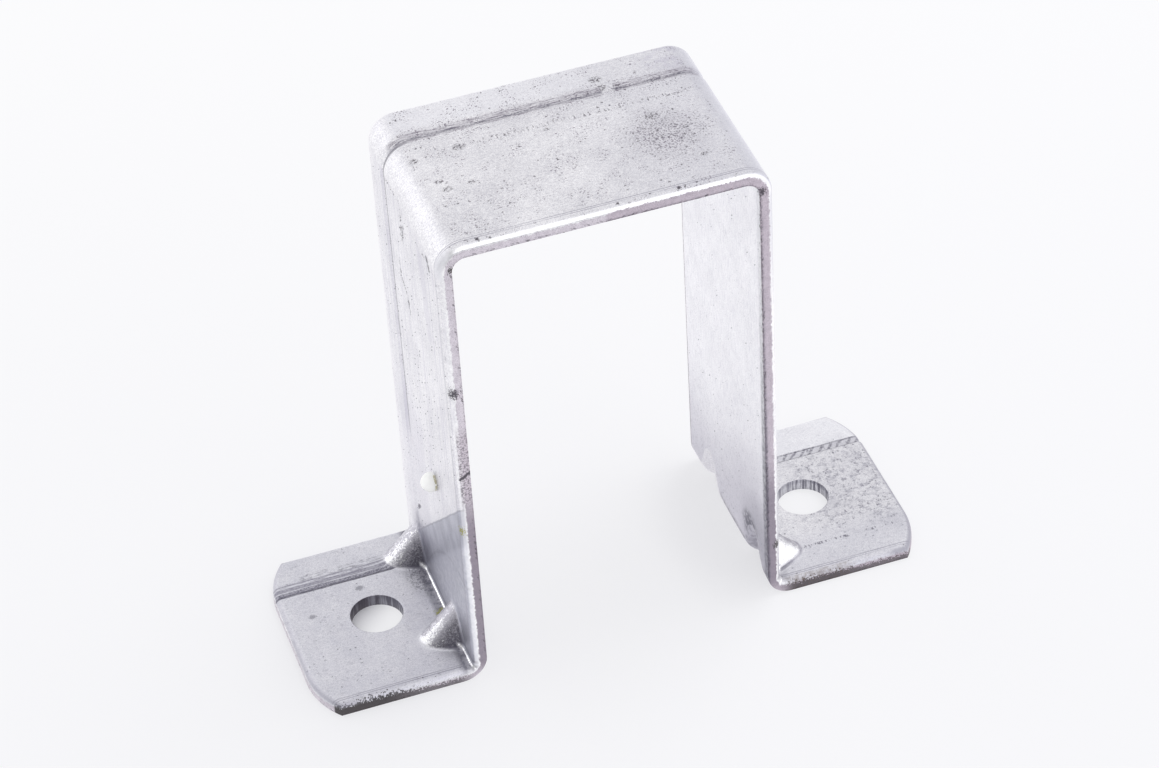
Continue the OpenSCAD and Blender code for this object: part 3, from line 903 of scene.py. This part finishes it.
def soft_most(value, soft):
    """The larger of value and 0, rounded off over the distance soft."""
    return 0.5 * (value + np.sqrt(value * value + soft * soft))


def strip_columns():
    """Y of each column of the strip: close together round the two edges and in the crease."""
    turn = shares(EDGE_STEPS) * math.pi / 2
    front_edge = -HALF_WIDTH + EDGE_RADIUS * (1 - np.cos(turn))
    crease_front, crease_rear = CREASE_Y - CREASE_WIDTH / 3, CREASE_Y + CREASE_WIDTH
    return np.concatenate([
        [-HALF_WIDTH],
        front_edge,
        np.linspace(front_edge[-1], crease_front, FRONT_COLUMNS)[1:],
        np.linspace(crease_front, crease_rear, CREASE_COLUMNS)[1:],
        np.linspace(crease_rear, -front_edge[-1], REAR_COLUMNS)[1:],
        -front_edge[-2::-1],
        [HALF_WIDTH],
    ])


def half_profile(y):
    """Rows from the middle of the crown to the end of the +X foot, for the columns y.

    Each row gives x and z on the outer face, the outward direction there, and x and z on the inner face:
    a straight crown, a quarter circle, a straight leg, a quarter circle turned the other way, and a foot
    whose last rows bend into the trimmed outline of its end.
    """
    fold_x, fold_z = LEG_OUTSIDE - CROWN_RADIUS, TOP - CROWN_RADIUS
    inner_radius = CROWN_RADIUS - THICKNESS
    fold_end = THICKNESS + FOLD_RADIUS
    rows = [(0, TOP, 0, 1, 0, TOP - THICKNESS)]
    for share in shares(CROWN_ROWS):
        rows.append((share * fold_x, TOP, 0, 1, share * fold_x, TOP - THICKNESS))
    for turn in shares(CROWN_FOLD_ROWS) * math.pi / 2:
        sine, cosine = math.sin(turn), math.cos(turn)
        rows.append((
            fold_x + CROWN_RADIUS * sine, fold_z + CROWN_RADIUS * cosine, sine, cosine,
            fold_x + inner_radius * sine, fold_z + inner_radius * cosine,
        ))
    upper_leg, lower_leg = shares(LEG_ROWS) * DART_START, shares(LOW_LEG_ROWS) * (1 - DART_START)
    for share in np.concatenate([upper_leg, DART_START + lower_leg]):
        outer_z = fold_z + share * (fold_end - fold_z)
        inner_z = fold_z + share * (FOLD_UNDERSIDE - fold_z)
        rows.append((LEG_OUTSIDE, outer_z, 1, 0, LEG_INSIDE, inner_z))
    for turn in shares(FOOT_FOLD_ROWS) * math.pi / 2:
        sine, cosine = math.sin(turn), math.cos(turn)
        rows.append((
            LEG_OUTSIDE + FOLD_RADIUS * (1 - cosine), fold_end - FOLD_RADIUS * sine, cosine, sine,
            LEG_INSIDE + FOLD_UNDERSIDE * (1 - cosine), FOLD_UNDERSIDE * (1 - sine),
        ))
    inner_start = FOLD_UNDERSIDE - THICKNESS
    for share in shares(NEAR_FOOT_ROWS):
        outer_out = FOLD_RADIUS + share * (DART_ZONE - FOLD_RADIUS)
        inner_out = inner_start + share * (DART_ZONE - inner_start)
        rows.append((LEG_OUTSIDE + outer_out, THICKNESS, 0, 1, LEG_OUTSIDE + inner_out, 0))
    profile = np.repeat(np.array(rows, float)[:, :, None], len(y), axis=2)

    centre_out = FOOT_LENGTH - CORNER_RADIUS
    past_straight = np.maximum(np.abs(y) - (HALF_WIDTH - CORNER_LENGTH), 0)
    end_out = centre_out + np.sqrt(CORNER_RADIUS**2 - past_straight**2)
    rounded = 1.35 * EDGE_RADIUS
    outs = [DART_ZONE + share * (end_out - rounded - DART_ZONE) for share in shares(FAR_FOOT_ROWS)]
    outs += [end_out - rounded * (1 - math.sin(turn)) for turn in shares(EDGE_STEPS) * math.pi / 2]
    level, zero = np.ones(len(y)), np.zeros(len(y))
    end_rows = [
        [LEG_OUTSIDE + out, level * THICKNESS, zero, level, LEG_OUTSIDE + out, zero]
        for out in outs
    ]
    return np.concatenate([profile, np.array(end_rows)])


def flank_angle(half_base, height, crest_radius):
    """Direction of the flank that leaves a dart's base and is tangent to its round crest."""
    crest = height - crest_radius
    return math.atan2(crest, -half_base) - math.asin(crest_radius / math.hypot(half_base, crest))


def dart_height(y, centres, half_base, height, crest_radius):
    """Height of the darts' crests over the fold's inner corner: straight flanks tangent to a round crest."""
    flank = flank_angle(half_base, height, crest_radius)
    crest = height - crest_radius
    touch = crest_radius * math.sin(flank)
    touch_height = crest - crest_radius * math.cos(flank)
    gap = np.min([np.abs(y - centre) for centre in centres], axis=0)
    round_part = crest + np.sqrt(np.maximum(crest_radius**2 - gap**2, 0))
    straight_part = touch_height * (half_base - gap) / (half_base - touch)
    return np.where(gap < touch, round_part, straight_part)


def edge_drop(x, y):
    """How far the blanked edge falls away: a quarter circle that ends on the strip's outline."""
    end_a = np.maximum(np.abs(x) - LEG_OUTSIDE - (FOOT_LENGTH - CORNER_RADIUS), 0)
    end_b = np.maximum(np.abs(y) - (HALF_WIDTH - CORNER_LENGTH), 0)
    gap = np.minimum(HALF_WIDTH - np.abs(y), CORNER_RADIUS - np.hypot(end_a, end_b))
    inset = np.clip(EDGE_RADIUS - gap, 0, EDGE_RADIUS)
    return EDGE_RADIUS - np.sqrt(EDGE_RADIUS**2 - inset**2)


def crease_drop(along, y):
    """Depth of the rolled crease: a steep front wall, a long rear wall and an uneven bottom."""
    steep = CREASE_WIDTH / 4
    shape = np.interp(y - CREASE_Y, [-steep, 0, CREASE_WIDTH - steep], [0, 1, 0])
    return CREASE_DEPTH * shape * (1 + 0.25 * lattice_noise(along / 1.1, y / 0.6, 3))


def pressed(x, z, reach, soft):
    """Moves points away from the fold's corner at 45 degrees, out to the height that a dart reaches."""
    diagonal = (x - LEG_OUTSIDE + z - THICKNESS) / math.sqrt(2)
    push = soft_most(reach - diagonal, soft) / math.sqrt(2)
    near = np.clip((DART_ZONE + 1.5 - np.maximum(x - LEG_OUTSIDE, z - THICKNESS)) / 1.5, 0, 1)
    return x + near * push, z + near * push


def half_strip(side):
    """Outer and inner face of one half of the strip, as grids of points from the crown to the foot."""
    y = strip_columns()
    x, z, turn_x, turn_z, inner_x, inner_z = np.moveaxis(half_profile(y), 1, 0)
    y = np.broadcast_to(y, x.shape)
    along = side * (x + TOP - z)
    darts = [-side * (HALF_WIDTH - DART_INSET - step * DART_SPACING) for step in (0, 1)]
    drop = edge_drop(x, y) + crease_drop(along, y)
    x, z = x - turn_x * drop, z - turn_z * drop

    half_base = DART_WIDTH / 2
    hammered = 0.07 * lattice_noise(along / 0.9, y / 0.5, 5) + 0.04 * lattice_noise(along / 0.4, y / 0.3, 6)
    reach = dart_height(y, darts, half_base, DART_HEIGHT, DART_CREST_RADIUS) + hammered
    x, z = pressed(x, z, reach, DART_SOFT)
    wall = DART_WALL / math.sin(flank_angle(half_base, DART_HEIGHT, DART_CREST_RADIUS))
    hollow_height, hollow_radius = DART_HEIGHT - DART_WALL, DART_CREST_RADIUS - DART_WALL
    hollow = dart_height(y, darts, half_base - wall, hollow_height, hollow_radius)
    inner_x, inner_z = pressed(inner_x, inner_z, hollow, POCKET_SOFT)
    outer = np.stack([side * x, y, z], axis=-1)
    inner = np.stack([side * inner_x, y, inner_z], axis=-1)
    return outer, inner


def grid_faces(index):
    """Quads between neighbouring vertices of a grid, facing along its rows times its columns."""
    return np.stack([index[:-1, :-1], index[1:, :-1], index[1:, 1:], index[:-1, 1:]], axis=-1).reshape(-1, 4)


def block_border(index):
    """The vertices round a block of a grid, once round, in the turning sense of its faces."""
    return np.concatenate([index[:-1, 0], index[-1, :-1], index[:0:-1, -1], index[0, :0:-1]])


def hole_rings(points, border, centre_x):
    """Rings of points from a block's border to the bolt hole, the last ones round its broken edge."""
    start = points[border]
    offset = start[:, :2] - (centre_x, 0)
    radius = np.linalg.norm(offset, axis=1)
    direction = offset / radius[:, None]
    outward = 1 if start[0, 2] > THICKNESS / 2 else -1
    rings = []
    for share, drop in ((0.35, 0.0), (0.7, 0.0), (1.0, 0.0), (1.0, 0.3), (1.0, 1.0)):
        gap = HOLE_BREAK * (1 - drop)
        ring_radius = radius + share * (HOLE_RADIUS + gap - radius)
        height = start[:, 2] - outward * HOLE_BREAK * drop**2
        ring = np.column_stack([direction * ring_radius[:, None], height])
        rings.append(ring + (centre_x, 0, 0))
    return rings


def folded_strip_mesh():
    """The whole strip as one closed surface of quads.

    Two grids of points, the outer face and the inner face, run from the left foot over the crown to the
    right foot. Walls join their edges. Round each bolt hole a block of both grids gives way to rings.
    """
    left_outer, left_inner = half_strip(-1)
    right_outer, right_inner = half_strip(1)
    outer = np.concatenate([left_outer[:0:-1], right_outer])
    inner = np.concatenate([left_inner[:0:-1], right_inner])
    count = outer.shape[0] * outer.shape[1]
    outer_index = np.arange(count).reshape(outer.shape[:2])
    inner_index = outer_index + count
    points = [outer.reshape(-1, 3), inner.reshape(-1, 3)]
    keep_out = np.zeros((outer.shape[0] - 1, outer.shape[1] - 1), bool)
    faces = []
    for side in (-1, 1):
        middle = outer[:, outer.shape[1] // 2]
        on_foot = np.abs(middle[:, 2] - THICKNESS) < 0.01
        rows = np.flatnonzero(on_foot & (np.abs(side * middle[:, 0] - HOLE_X) < HOLE_BLOCK))
        columns = np.flatnonzero(np.abs(outer[rows[0], :, 1]) < HOLE_BLOCK)
        block = np.ix_(np.arange(rows[0], rows[-1] + 1), np.arange(columns[0], columns[-1] + 1))
        keep_out[rows[0]:rows[-1], columns[0]:columns[-1]] = True
        flat = np.concatenate(points)
        loops = []
        for index, flip in ((outer_index, False), (inner_index, True)):
            border = block_border(index[block])
            loop = [border]
            for ring in hole_rings(flat, border, side * HOLE_X):
                loop.append(sum(len(part) for part in points) + np.arange(len(border)))
                points.append(ring)
            closed = np.column_stack([np.array(loop), np.array(loop)[:, 0]])
            made = grid_faces(closed)
            faces.append(made if flip else made[:, ::-1])
            loops.append(closed[-1])
        faces.append(grid_faces(np.array(loops))[:, ::-1])
    face_grid = grid_faces(outer_index).reshape(*keep_out.shape, 4)
    faces.append(face_grid[~keep_out])
    faces.append(face_grid[~keep_out][:, ::-1] + count)
    faces.append(grid_faces(np.column_stack([inner_index[:, 0], outer_index[:, 0]])))
    faces.append(grid_faces(np.column_stack([outer_index[:, -1], inner_index[:, -1]])))
    faces.append(grid_faces(np.stack([inner_index[0], outer_index[0]])))
    faces.append(grid_faces(np.stack([outer_index[-1], inner_index[-1]])))
    used, faces = np.unique(np.concatenate(faces), return_inverse=True)
    mesh = bpy.data.meshes.new("folded_strip")
    mesh.from_pydata((np.concatenate(points)[used] * MM).tolist(), [], faces.reshape(-1, 4).tolist())
    return mesh


def add_clamp():
    """The folded strip with its pressed darts, in its finished material, in place of the plain solid."""
    mesh = folded_strip_mesh()
    mesh.materials.append(zinc_material())
    mesh.shade_smooth()
    mesh.set_sharp_from_angle(angle=math.radians(50))
    clamp = bpy.data.objects.new("folded_strip", mesh)
    bpy.context.scene.collection.objects.link(clamp)
    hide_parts("post_clamp")
    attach(clamp, "root")


def bead_mesh():
    """A drop of hardened white paste: a ball drawn out by its three radii, with a low uneven surface."""
    around, down = 48, 32
    turn = np.linspace(0, 2 * math.pi, around, endpoint=False)
    tilt = np.linspace(0, math.pi, down + 1)[1:-1]
    turn, tilt = np.meshgrid(turn, tilt)
    ball = np.stack([np.sin(tilt) * np.cos(turn), np.sin(tilt) * np.sin(turn), np.cos(tilt)], axis=-1)
    ball = np.concatenate([ball.reshape(-1, 3), [[0, 0, 1], [0, 0, -1]]])
    uneven = 1 + 0.06 * lattice_noise(3 + 2 * ball[:, 0] + ball[:, 1], 3 + 2 * ball[:, 2] - ball[:, 1], 9)
    points = ball * uneven[:, None] * BEAD_RADII + BEAD_CENTRE
    index = np.arange((down - 1) * around).reshape(down - 1, around)
    closed = np.column_stack([index, index[:, 0]])
    top, bottom = index.size, index.size + 1
    faces = grid_faces(closed).tolist()
    faces += [(top, a, b) for a, b in zip(closed[0, :-1], closed[0, 1:])]
    faces += [(bottom, b, a) for a, b in zip(closed[-1, :-1], closed[-1, 1:])]
    mesh = bpy.data.meshes.new("paste_bead")
    mesh.from_pydata((points * MM).tolist(), [], faces)
    return mesh


def paste_material():
    """Chalky white paste, yellowed where it meets the metal, with a faint painted glow."""
    material = bpy.data.materials.new("white_paste")
    graph = Graph(material)
    place = graph.scaled(graph.node("ShaderNodeTexCoord", None, None, "Object"), 1 / MM)
    mottle = graph.noise(place, 1.5, 3.0, 0.6)
    x, y, _ = graph.axes(place)
    contact = (x + LEG_OUTSIDE).rise(-0.55, -0.25) * (BEAD_CENTRE[1] - y).rise(0.2, 0.8)
    skirt = contact * mottle.rise(0.40, 0.55)
    colour = graph.blend(mottle, linear(246, 247, 242), linear(255, 255, 253))
    colour = graph.blend(skirt * 0.8, colour, linear(168, 162, 120))
    bump = graph.node("ShaderNodeBump", None, {"Distance": 0.00004, "Height": mottle}, "Normal")
    inputs = {"Base Color": colour, "Roughness": 0.45 + 0.2 * mottle, "Normal": bump}
    # A painted glow: the paste gives off a little light of its own, to stay white
    inputs |= {"Emission Color": colour, "Emission Strength": 0.12}
    surface = graph.node("ShaderNodeBsdfPrincipled", None, inputs)
    graph.node("ShaderNodeOutputMaterial", None, {"Surface": surface})
    return material


def add_bead():
    """The drop of white paste on the outside of the left leg."""
    mesh = bead_mesh()
    mesh.materials.append(paste_material())
    mesh.shade_smooth()
    bead = bpy.data.objects.new("paste_bead", mesh)
    bpy.context.scene.collection.objects.link(bead)
    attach(bead, "root")


bpy.context.scene.view_settings.view_transform = "Standard"
set_world()
add_camera()
add_floor()
add_softbox("overhead_right", (0.32, 0.10, 0.66), 0.4, 1.5)
add_clamp()
add_bead()
